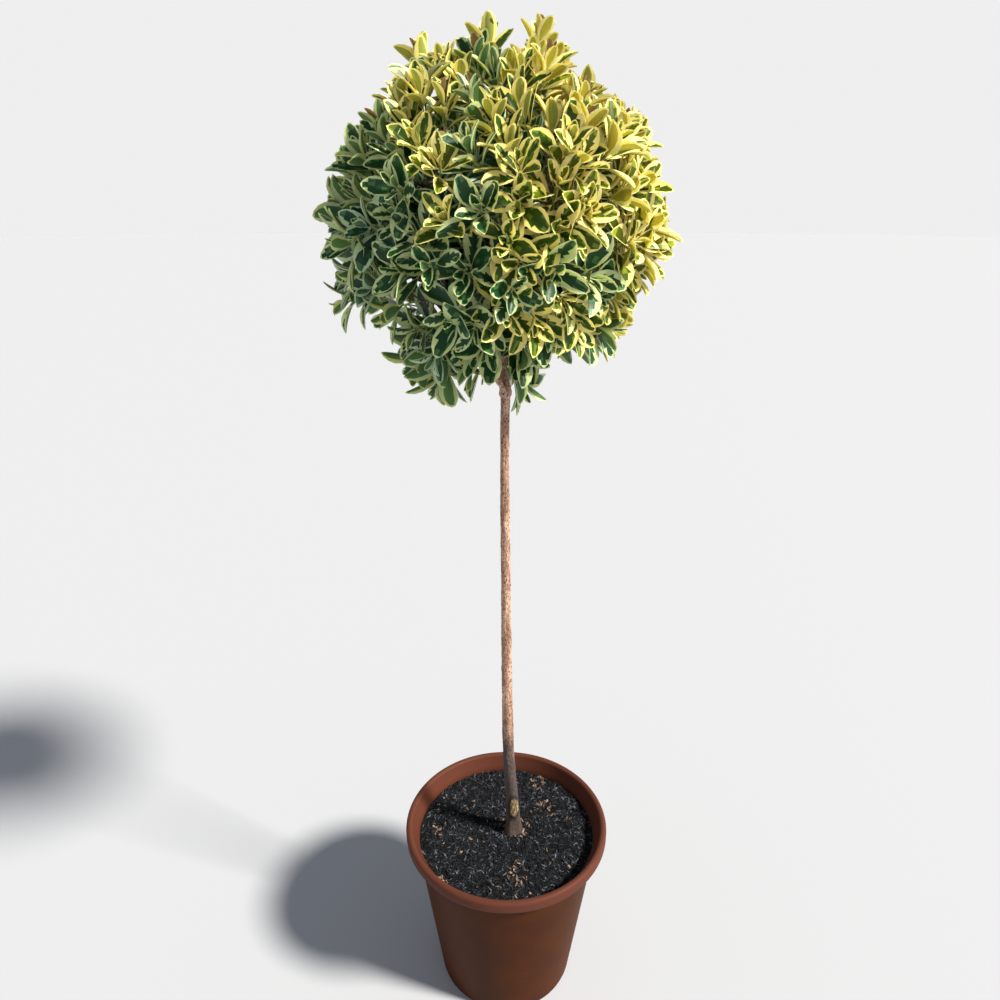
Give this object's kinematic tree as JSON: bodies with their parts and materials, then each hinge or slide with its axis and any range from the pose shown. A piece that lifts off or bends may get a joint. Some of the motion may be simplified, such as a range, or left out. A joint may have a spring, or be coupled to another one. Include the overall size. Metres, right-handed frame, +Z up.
{
  "type": "potted standard spindle bush",
  "caption": "Evergreen spindle bush with cream-edged leaves, trained as a round head on a bare stem, in a terracotta-coloured plastic pot.",
  "frame": {"origin": "centre of the pot's flat underside", "axes": "+Z up along the stem; -Y is the side that the picture was taken from; +X is to the right in it"},
  "size_m": [0.4883, 0.4659, 1.664],
  "materials": {
    "terracotta_plastic": "matte terracotta-coloured plastic with light scuffs and water marks",
    "potting_soil": "dark loose compost with chips of bark",
    "bark": "thin mottled tan bark, greyer at the foot",
    "variegated_leaves": "leathery leaves, dark green in the middle with a cream to yellow edge"
  },
  "bodies": {
    "root": {"pot": "terracotta_plastic", "soil": "potting_soil", "trunk": "bark", "bough_low_1": "bark", "bough_low_2": "bark", "bough_low_3": "bark", "bough_low_4": "bark", "bough_high_1": "bark", "bough_high_2": "bark", "bough_high_3": "bark", "bough_high_4": "bark", "bough_top": "bark", "foliage_low_1": "variegated_leaves", "foliage_low_2": "variegated_leaves", "foliage_low_3": "variegated_leaves", "foliage_low_4": "variegated_leaves", "foliage_high_1": "variegated_leaves", "foliage_high_2": "variegated_leaves", "foliage_high_3": "variegated_leaves", "foliage_high_4": "variegated_leaves", "foliage_top": "variegated_leaves"}
  },
  "joints": []
}
